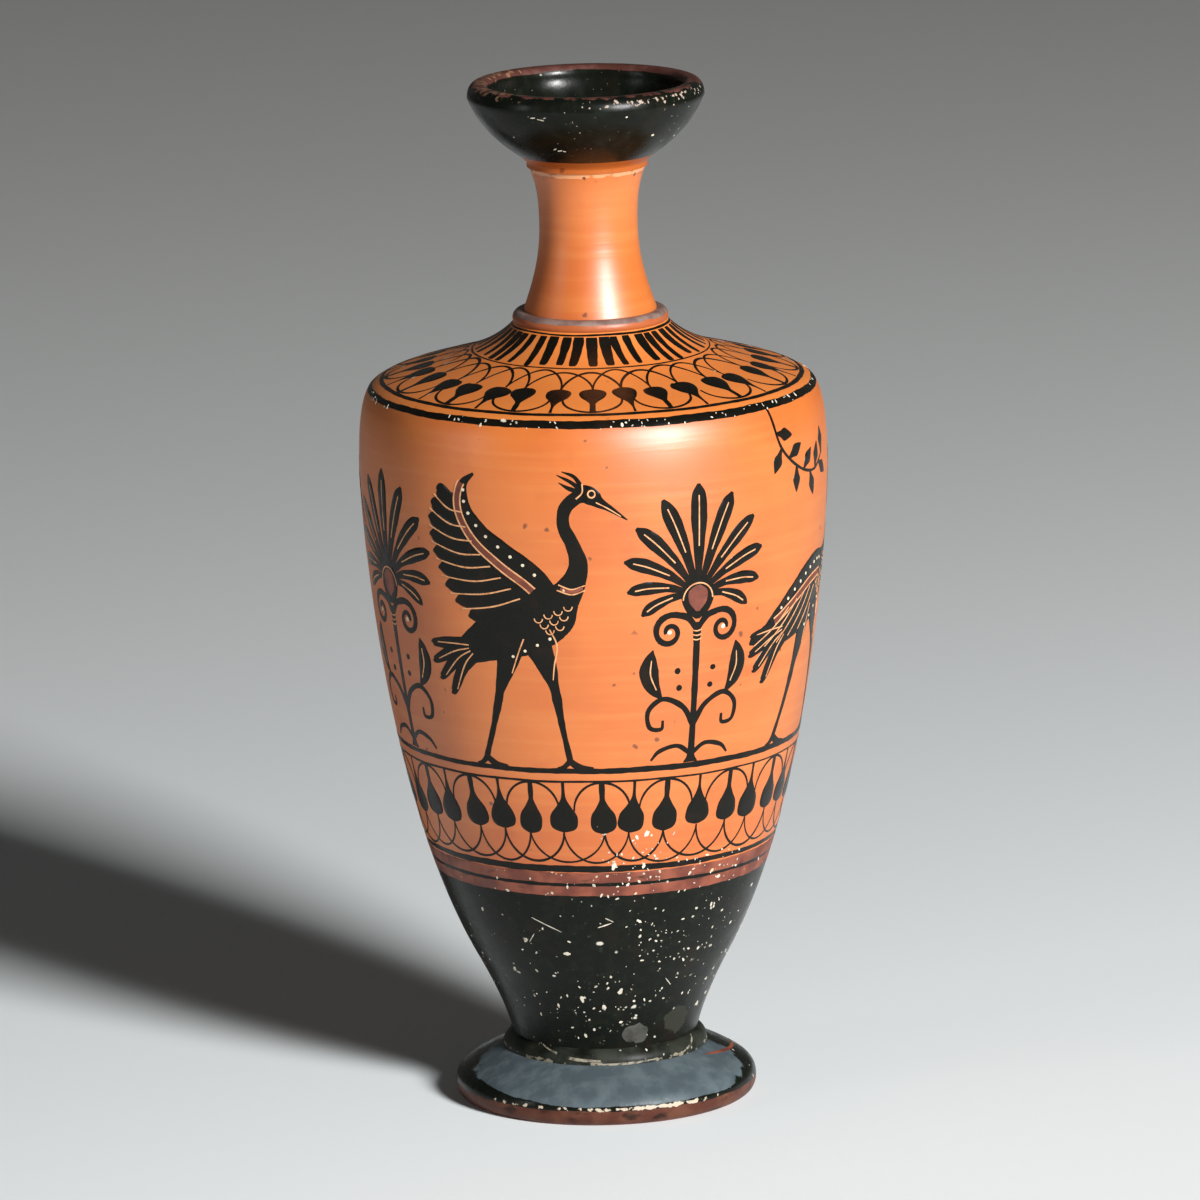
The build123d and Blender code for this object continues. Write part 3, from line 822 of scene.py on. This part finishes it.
foot_rub = ((1.1, 9.4, 0.2), (1.25, 8.2, 0.45), (1.5, 6.6, 0.5), (1.75, 5.2, 0.4), (1.95, 4.2, 0.15))


def flake(wall, angle, along, length, half, lean):
    """Chip or fill as a leaning stroke: as wide as an ellipse of these half axes, roughened at random."""
    t = np.cos(np.linspace(math.pi, 0.0, 9))
    radius = np.interp(along, wall[:, 0], wall[:, 1])
    width = half * np.sqrt(np.maximum(1 - t**2, 0.01)) * hand.uniform(0.65, 1.2, 9)
    across, up = length * t * math.cos(lean), length * t * math.sin(lean)
    return np.column_stack([angle + across / radius, along + up, width])


def flakes(wall, rows):
    """Such chips from listed rows, with the place and both half axes in millimetres."""
    return [flake(wall, *row) for row in np.array(rows) * (1, mm, mm, mm, 1)]


def chip_field(wall, first, last, low, high, count):
    """Chips strewn over a field of angles and places along a wall: many small ones and a few large."""
    place = hand.uniform(first, last, count), hand.uniform(low, high, count)
    half = np.minimum(0.17 * mm * np.exp(hand.normal(0.0, 0.5, count)), 0.6 * mm)
    length, lean = half * hand.uniform(1.0, 1.9, count), hand.uniform(0.0, math.pi, count)
    return [flake(wall, *row) for row in np.column_stack([*place, length, half, lean])]


# Pale clay bared by chips: cream, greyer where dirt has settled in it, and quite matt.
pale_clay = two_toned(
    "flaked_pale_clay", 3 * mm, (0.4, 0.68), "#D6CCBA", "#8E897B", 0.75, (0.65, 0.85), 0.05 * mm
)

# Restorer's putty: grey-brown filler, smooth and a little dull.
putty = two_toned("grey_putty", 2.5 * mm, (0.4, 0.7), "#45443E", "#2E2D27", 0.8, (0.4, 0.55), 0.05 * mm)

# Broken edge of the fillet: fired clay rubbed grey-brown, dark where slip is left in its pores.
broken_clay = two_toned(
    "rubbed_broken_clay", 1.2 * mm, (0.42, 0.62), "#8B8474", "#48443A", 1.0, (0.6, 0.75), 0.05 * mm
)

body_chips = flakes(body_side, scratches)
for field in chip_fields:
    body_chips += chip_field(body_side, *field)
painted("body_chips", body_side, body_chips, chip_lift, pale_clay, "painted_clay")
painted("putty_fills", body_side, flakes(body_side, putty_fills), putty_lift, putty, "black_gloss")
roll_side = paintable((roll_face[:, 1] - foot_seat) / (roll_top[1] - foot_seat), roll_face)
break_strokes = [flowing(stroke, 24) * (1, 1, mm) for stroke in roll_breaks]
painted("roll_breaks", roll_side, break_strokes, break_lift, broken_clay, "painted_clay")
foot_top = swelling(foot_brow, foot_seat_edge, foot_top_swell, 30)
foot_side = paintable(foot_radius - foot_top[:, 0], foot_top)
rub_stroke = flowing(foot_rub, 30) * (1, mm, mm)
painted("foot_rub", foot_side, [rub_stroke], film_lift, added_red, "added_purple")

# Shoulder: a thrown cover that slopes up to the neck, luted to the body's rim with a lip inside it.
# It is the same burnished orange clay, with a lighter, yellower coat laid over it as painted light: the low
# lamp lights the slope less than the wall, and the coat makes the slope look as bright as the wall.
shoulder_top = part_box("shoulder")[1].z
shoulder_brow = (rim_radius - 5.9 * mm, body_rim + 3.2 * mm)
neck_seat_edge = (18.6 * mm, shoulder_top)
neck_hole = 12.15 * mm
shoulder_wall = 5.5 * mm
lip_outer = 48.75 * mm
lip_inner_bottom = (45.75 * mm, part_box("shoulder")[0].z)
slope_swell = ((0.356, 0.27), (0.763, 0.381))
shoulder_painted_light_finish, shader, place = finish_named("shoulder_clay_painted_light")
colour, rough, rings = bare_clay(shader, place)
# lighter, yellower coat: painted light on the shoulder's slope
surfaced(shader, place, layered(colour, ("#E4883F", 0.55)), rough, rings, clay_relief)
shoulder_outline = outline_of(
    swelling(body_edge, shoulder_brow, ((0.136, 0.375), (0.49, 0.69)), 22),
    swelling(shoulder_brow, neck_seat_edge, slope_swell, 60),
)
shoulder_clay = offset_by(shoulder_outline, -slip_depth)
under_seat = (neck_seat_edge[0], shoulder_top - shoulder_wall)
cover = outline_of(
    shoulder_clay,
    straight(shoulder_clay[-1], (neck_hole, shoulder_clay[-1, 1]), (neck_hole, under_seat[1]), under_seat),
    swelling(lip_inner_bottom, under_seat, slope_swell, 24)[::-1],
    straight(lip_inner_bottom, (lip_outer, lip_inner_bottom[1]), (lip_outer, body_rim), shoulder_clay[0]),
)
piece("shoulder_cover", *turned(cover[:-1], True), shoulder_painted_light_finish, "painted_clay", "shoulder")

# Ornament of the shoulder: two lines at its edge, chipped in places, a chain of buds that point to the neck,
# and a ring of tongues between thin lines. The tongues are single pulls of a full brush, some run together.
tongue_count = 42
rim_chip_lift = 0.09 * mm
shoulder_line_sizes = ((50.5, 0.6), (28.6, 0.22), (19.0, 0.3))
shoulder_bud_count = 32
shoulder_bud_radii = (49.8, 38.2, 29.4)
shoulder_bud_half = 3.2 * mm
shoulder_loop_half = 0.36 * mm
shoulder_side = paintable(rim_radius - shoulder_clay[:, 0], shoulder_clay)
shoulder_lines = [round_the_wall(rim_radius - r * mm, half * mm) for r, half in shoulder_line_sizes]
painted("shoulder_lines", shoulder_side, shoulder_lines, film_lift, brush_black, "black_gloss", looped=True)
corner_clay = np.vstack([clay_outline, shoulder_clay[1:]])
corner_side = paintable(corner_clay[:, 1], corner_clay)
rim_line = [round_the_wall(body_rim + 0.3 * mm, 1.0 * mm)]
painted("rim_line", corner_side, rim_line, film_lift, brush_black, "black_gloss", looped=True)
rim_chips = []
for first, last, count in ((-0.7, 1.1, 52), (1.1, 5.6, 40)):
    rim_chips += chip_field(corner_side, first, last, body_rim - 0.6 * mm, body_rim + 1.0 * mm, count)
painted("rim_chips", corner_side, rim_chips, rim_chip_lift, pale_clay, "painted_clay")
bud_levels = (rim_radius - radius * mm for radius in shoulder_bud_radii)
shoulder_buds = bud_chain(shoulder_bud_count, *bud_levels, shoulder_bud_half, shoulder_loop_half)
painted("shoulder_buds", shoulder_side, shoulder_buds, film_lift, brush_black, "black_gloss")
tongues = []
for k in range(tongue_count):
    start = 2 * math.pi * (k + hand.uniform(-0.16, 0.16)) / tongue_count
    end = start + hand.normal(0.0, 0.02)
    reach = hand.uniform(27.2, 28.4) * mm
    full = hand.uniform(0.9, 1.35)
    tongues.append(flowing([
        (start, rim_radius - 19.4 * mm, 0.95 * full * mm),
        (start, rim_radius - 20.6 * mm, 1.12 * full * mm),
        (0.6 * start + 0.4 * end, rim_radius - 23.4 * mm, 0.95 * full * mm),
        (end, rim_radius - reach + 0.8 * mm, 0.85 * full * mm),
        (end, rim_radius - reach, 0.55 * full * mm),
    ], 20))
painted("shoulder_tongues", shoulder_side, tongues, film_lift, brush_black, "black_gloss")

# Neck ring: a bead of clay pressed round the foot of the neck and painted with dull purple slip.
# The purple is clouded with paler grey-pink, and orange clay shows at its lower edge.
ring_top = (17.2 * mm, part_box("neck_ring")[1].z)
ring_bore = 16.25 * mm
ring_steps = 160
purple_slip, shader, place = finish_named("added_purple_slip")
cloud = mottle(place, 4 * mm, 0.38, 0.68)
hem = ramp(place, "Z", shoulder_top + 2.3 * mm, shoulder_top + 1.1 * mm)
bared = ragged(both(hem, 0.9), place, 3 * mm, 0.8)
chips = flecks(place, 2.6 * mm, 0.25, 0.6 * mm, 1.0)
colour = layered(linear("#6E5650"), ("#8A746B", cloud, 0.8), ("#A5552A", bared), ("#3A2A25", chips, 0.8))
surfaced(shader, place, colour, (cloud, 0.4, 0.58), cloud, 0.08 * mm)
ring_outline = outline_of(
    swelling(neck_seat_edge, ring_top, ((-0.45, 0.35), (0.1, 1.0)), 14),
    straight(ring_top, (ring_bore, ring_top[1]), (ring_bore, shoulder_top), neck_seat_edge),
)
piece("neck_bead", *turned(ring_outline[:-1], True, ring_steps), purple_slip, "added_purple", "neck_ring")

# Neck: a thrown flared tube left in the bare orange clay, with a spigot in the shoulder and a tenon above.
# Where it meets the mouth there is a chipped pale line with dark crumbs of slip, and just below the mouth
# the clay turns browner towards the top.
mouth_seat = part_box("mouth")[0].z
neck_base = (16.1 * mm, shoulder_top)
neck_above_ring = (16.1 * mm, shoulder_top + 2.6 * mm)
neck_waist = (11.9 * mm, shoulder_top + 23.2 * mm)
neck_top = (14.2 * mm, mouth_seat)
neck_tenon = (11.3 * mm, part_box("neck")[1].z)
neck_bore = 8.5 * mm
neck_spigot = (12.0 * mm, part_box("neck")[0].z)
neck_clay, shader, place = finish_named("burnished_neck_clay")
colour, rough, rings = bare_clay(shader, place)
high = ramp(place, "Z", mouth_seat - 5.5 * mm, mouth_seat)
seam = between(place, "Z", mouth_seat - 0.9 * mm, mouth_seat, 0.8 * mm)
pale = ragged(both(seam, 0.6), place, 3.2 * mm, 1.4)
crumbs = flecks(place, 2.4 * mm, 0.8, 1.3 * mm, high)
# browner towards the top, just below the mouth
browner_towards_top = ragged(both(high, 0.55), place, 4.5 * mm, 1.2)
colour = layered(colour, ("#8E451F", browner_towards_top, 0.5), ("#DDA274", pale, 0.7), ("#4A2414", crumbs))
surfaced(shader, place, colour, rough, rings, clay_relief)
neck_face = outline_of(
    straight(neck_base, neck_above_ring),
    swelling(neck_above_ring, neck_waist, ((0.452, 0.272), (1.0, 0.563)), 40),
    swelling(neck_waist, neck_top, ((0.0, 0.458), (0.217, 0.704)), 28),
)
neck_hidden = straight(
    neck_top, (neck_tenon[0], mouth_seat), neck_tenon, (neck_bore, neck_tenon[1]),
    (neck_bore, neck_spigot[1]), neck_spigot, (neck_spigot[0], shoulder_top), neck_base,
)
neck_outline = outline_of(neck_face, neck_hidden)[:-1]
piece("neck_tube", *turned(neck_outline, True, ring_steps), neck_clay, "painted_clay", "neck")

# Mouth: a thrown cup with a thick rounded lip, luted onto the neck's tenon. A narrow collar is left in bare
# clay, darkened with painted shade under the cup; above it the cup is coated inside and out with black
# gloss, which is chipped to the pale clay.
# The lip is rubbed to red-brown, so it shines less than the cup.
mouth_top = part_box("mouth")[1].z
mouth_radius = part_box("mouth")[1].x
collar = (14.6 * mm, mouth_seat + 1.0 * mm)
collar_seat = (14.6 * mm, mouth_seat)
widest = (mouth_radius, mouth_top - 3.5 * mm)
crown_outer = (mouth_radius - 2.3 * mm, mouth_top)
lip_inner = (mouth_radius - 5.2 * mm, mouth_top - 2.3 * mm)
crown_inner = (lip_inner[0] + 1.7 * mm, mouth_top)
cup_floor = (9.5 * mm, mouth_seat + 3.65 * mm)
throat = (9.2 * mm, mouth_seat + 2.65 * mm)
mouth_socket = 11.45 * mm
mouth_chip_lift = 0.03 * mm
mouth_scars = (
    (-0.47, 15.6, 0.7, 0.2, 0.1), (-0.4, 15.2, 0.9, 0.16, -0.2), (-0.36, 15.7, 0.4, 0.14, 0.4),
    (-0.35, 7.3, 0.5, 0.2, 0.4), (-0.3, 6.9, 0.6, 0.32, 0.2), (-0.25, 6.7, 0.4, 0.15, -0.3),
    (0.7, 9.9, 0.3, 0.42, 1.2), (0.35, 15.5, 0.28, 0.22, 0.3), (-0.79, 9.8, 0.3, 0.25, 0.6),
)
mouth_gloss, shader, place = finish_named("black_gloss_mouth")
clay, clay_rough, rings = bare_clay(shader, place)
gloss, gloss_rough, worn = gloss_slip(shader, place, 0.6)
reserved = ragged(ramp(place, "Z", mouth_seat + 3.3 * mm, mouth_seat + 2.9 * mm), place, 4 * mm, 0.25)
lip_share = ramp(place, "Z", mouth_top - 2.2 * mm, mouth_top - 0.5 * mm)
behind = ramp(place, "Y", -14 * mm, 4 * mm)
crest = ramp(place, "Z", mouth_top - 0.9 * mm, mouth_top - 0.2 * mm)
outside = between(place, "Z", mouth_top - 1.9 * mm, mouth_top - 0.9 * mm, 0.7 * mm)
right, left = ramp(place, "X", -8 * mm, 12 * mm), ramp(place, "X", -10 * mm, -19 * mm)
front = ramp(place, "Y", 4 * mm, -8 * mm)
rubbed = ragged(both(lip_share, behind, 0.9), place, 7 * mm, 0.9)
crest = ragged(both(crest, 0.55), place, 3 * mm, 1.4)
rubbed = add("Math", {0: rubbed, 1: crest}, operation="MAXIMUM")
chipped = ragged(both(outside, right, front, 0.31), place, 1.2 * mm, 2.2)
tan = ragged(both(lip_share, left, 0.42), place, 1.6 * mm, 1.8)
colour = layered(
    add("Mix", {0: reserved, 6: gloss, 7: clay}, 2, data_type="RGBA"),
    # darker coat on the bare collar: painted shade under the overhanging cup
    ("#7A3614", reserved, 0.55),
    ("#4A2B24", rubbed),
    ("#65413A", rubbed, mottle(place, 3 * mm, 0.4, 0.7), 0.6),
    ("#84614A", tan, 0.8),
    ("#A59384", chipped),
)
dull = add("Math", {0: rubbed, 1: chipped}, operation="MAXIMUM")
rough = add("Mix", {0: reserved, 2: gloss_rough, 3: clay_rough})
rough = add("Mix", {0: dull, 2: rough, 3: 0.46})
surfaced(shader, place, colour, rough, worn, gloss_relief)
cup_wall = swelling(collar, widest, ((0.05, 0.125), (0.665, 0.3)), 44)
mouth_outline = outline_of(
    straight(collar_seat, collar),
    cup_wall,
    swelling(widest, crown_outer, ((0.0, 0.57), (0.39, 1.0)), 14),
    straight(crown_outer, crown_inner),
    swelling(crown_inner, lip_inner, ((0.59, 0.0), (0.94, 0.48)), 12),
    swelling(lip_inner, cup_floor, ((0.007, 0.4), (0.571, 0.818)), 36),
    straight(cup_floor, throat, (mouth_socket, throat[1]), (mouth_socket, mouth_seat), collar_seat),
)
piece("mouth_cup", *turned(mouth_outline[:-1], True), mouth_gloss, "black_gloss", "mouth")
mouth_side = paintable(cup_wall[:, 1] - mouth_seat, cup_wall)
mouth_chips = flakes(mouth_side, mouth_scars)
mouth_chips += chip_field(mouth_side, 0.9, 5.4, 4 * mm, 16 * mm, 26)
painted("mouth_chips", mouth_side, mouth_chips, mouth_chip_lift, pale_clay, "painted_clay")

# Handle: a strap of clay pulled by hand, bent from the back of the neck over a rounded knee to the shoulder.
# Its ends are spread with the thumb where they are luted on; it is coated with black gloss, which shines
# along its middle and is rubbed to red-brown clay along its edges.
handle_half_width = 8.5 * mm
handle_half_thickness = 3.8 * mm
handle_sunk = 0.9 * mm
handle_route = np.array([
    (5.0, 218.4, 1.3, 0.98), (12.5, 220.3, 1.24, 0.98), (19.8, 222.05, 1.02, 0.97),
    (26.0, 221.9, 0.96, 0.97), (31.4, 218.6, 0.95, 0.96), (36.2, 211.6, 0.95, 0.96),
    (38.3, 203.9, 0.96, 0.97), (39.5, 191.5, 1.0, 1.04), (40.2, 184.5, 1.12, 1.12),
    (40.7, 178.5, 1.36, 1.24),
]) * (mm, mm, 1.0, 1.0)


def strap(route, half_width, half_thickness, rows=72, columns=48):
    """Rounded section carried along a route of (y, z, depth, spread) in the plane of the axis. The section
    is a superellipse: the sine and cosine of an ellipse to a power below one, which fills its edges. Depth
    and spread thicken and widen it at its ends."""
    y, z, depth, spread = flowing(route, rows).T[:, :, None]
    step_y, step_z = np.gradient(y, axis=0), np.gradient(z, axis=0)
    length = np.hypot(step_y, step_z)
    turn = np.linspace(0.0, 2 * math.pi, columns, endpoint=False)
    across, thick = (np.sign(wave) * np.abs(wave) ** 0.82 for wave in (np.cos(turn), np.sin(turn)))
    out = half_thickness * depth * thick
    x = half_width * spread * across
    return np.stack([x, y + out * step_z / length, z - out * step_y / length], axis=-1)


def landed(grid):
    """Points of a strap that would reach through the neck or the shoulder, held just below their outsides:
    outwards to the neck's radius at their height, and up to the shoulder's height at their radius."""
    x, y, z = np.moveaxis(grid, -1, 0)
    neck_radius = np.interp(z, neck_face[:, 1], neck_face[:, 0]) - handle_sunk
    out = np.maximum(np.hypot(x, y), neck_radius) / np.hypot(x, y)
    x, y = x * out, y * out
    slope = np.interp(np.hypot(x, y), shoulder_clay[::-1, 0], shoulder_clay[::-1, 1]) - handle_sunk
    return np.stack([x, y, np.maximum(z, slope)], axis=-1)


handle_gloss, shader, place = finish_named("black_gloss_handle")
colour, rough, worn = gloss_slip(shader, place, 0.7)
aside = add("Math", {0: add("SeparateXYZ", {0: place}, "X")}, operation="ABSOLUTE")
rubbed = add("MapRange", {"Value": aside, "From Min": 5.5 * mm, "From Max": 8.6 * mm})
rubbed = ragged(both(rubbed, 0.5), place, 4 * mm, 1.0)
surfaced(shader, place, layered(colour, ("#6A3F2A", rubbed, 0.85)), rough, worn, gloss_relief)
handle_grid = landed(strap(handle_route, handle_half_width, handle_half_thickness))
piece("strap_handle", *skinned(handle_grid, False), handle_gloss, "black_gloss", "handle")

# Table: a plain pale sheet of matt paper that runs out and turns up far away, the stage and not part of the
# flask. It is graded to grey far away and below the lamp, where white paper would be overlit.
table_reach = 3.4
table_bend = 0.8
table_turn = table_reach + table_bend
table_top = 3.0
below_lamp = (1.08, -1.49, 0.0)
paper, shader, place = finish_named("paper_sweep")
away = add("VectorMath", {0: place}, "Value", operation="LENGTH")
fade = add("MapRange", {"Value": away, "From Min": 0.05, "From Max": 1.9})
far_edge = add("MapRange", {"Value": away, "From Min": 1.9, "From Max": 3.2})
from_lamp = add("VectorMath", {0: place, 1: below_lamp}, "Value", operation="DISTANCE")
near_lamp = {"Value": from_lamp, "From Min": 1.85, "From Max": 0.7}
overlit = add("MapRange", near_lamp, interpolation_type="SMOOTHSTEP")
colour = layered(linear("#E9EEEF"), ("#F0F0EC", fade), ("#9C9B97", far_edge), ("#484947", overlit))
paper.node_tree.links.new(colour, shader.inputs["Base Color"])
shader.inputs["Roughness"].default_value = 0.9
sweep = outline_of(
    np.linspace((0.001, 0.0), (table_reach, 0.0), 40),
    swelling((table_reach, 0.0), (table_turn, table_bend), ((0.6, 0.0), (1.0, 0.4)), 16),
    straight((table_turn, table_bend), (table_turn, table_top)),
)
table_points, table_faces = turned(sweep[::-1], False, 96)
table = shaped("table", table_points, table_faces[::2], paper)

# Light: one soft lamp from the right in front, a weak tall strip from the left, and a dim room.
# The lamp stands near, so that its light falls off over the table and the flask throws a wide shadow.
target = Vector((0.0, 0.0, 0.12))


def soft_lamp(name, azimuth, elevation, distance, size, watts):
    """Soft lamp of (width, height) at an azimuth from the front towards the right, aimed at the flask."""
    a, e = math.radians(azimuth), math.radians(elevation)
    lamp = bpy.data.lights.new(name, "AREA")
    lamp.shape = "RECTANGLE"
    lamp.size, lamp.size_y = size
    lamp.energy = watts
    holder = bpy.data.objects.new(name, lamp)
    offset = Vector((math.sin(a) * math.cos(e), -math.cos(a) * math.cos(e), math.sin(e)))
    holder.location = target + distance * offset
    holder.rotation_euler = (-offset).to_track_quat("-Z", "Y").to_euler()
    bpy.context.scene.collection.objects.link(holder)


soft_lamp("key_lamp", 36, 23, 2.0, (0.4, 0.53), 79)
soft_lamp("fill_lamp", -64, 12, 2.4, (0.25, 0.9), 4.5)
room = bpy.data.worlds.new("room")
room.use_nodes = True
room.node_tree.nodes["Background"].inputs["Color"].default_value = linear("#D8DCDE")
room.node_tree.nodes["Background"].inputs["Strength"].default_value = 0.018
bpy.context.scene.world = room
bpy.context.scene.view_settings.view_transform = "Standard"

# Camera: a long lens in front of the flask that looks down on it a little, as in the photograph.
# It is turned slightly on its axis, as the flask leans a little in the picture.
camera_data = bpy.data.cameras.new("camera")
camera_data.sensor_width = 36.0
camera_data.lens = 292.6
camera = bpy.data.objects.new("camera", camera_data)
camera.location = (0.0, -2.300, 0.618)
aim = Vector((0.0009, 0.0, 0.1217)) - camera.location
tilt = Quaternion((0.0, 0.0, 1.0), math.radians(-1.2))
camera.rotation_euler = (aim.to_track_quat("-Z", "Y") @ tilt).to_euler()
bpy.context.scene.collection.objects.link(camera)
bpy.context.scene.camera = camera
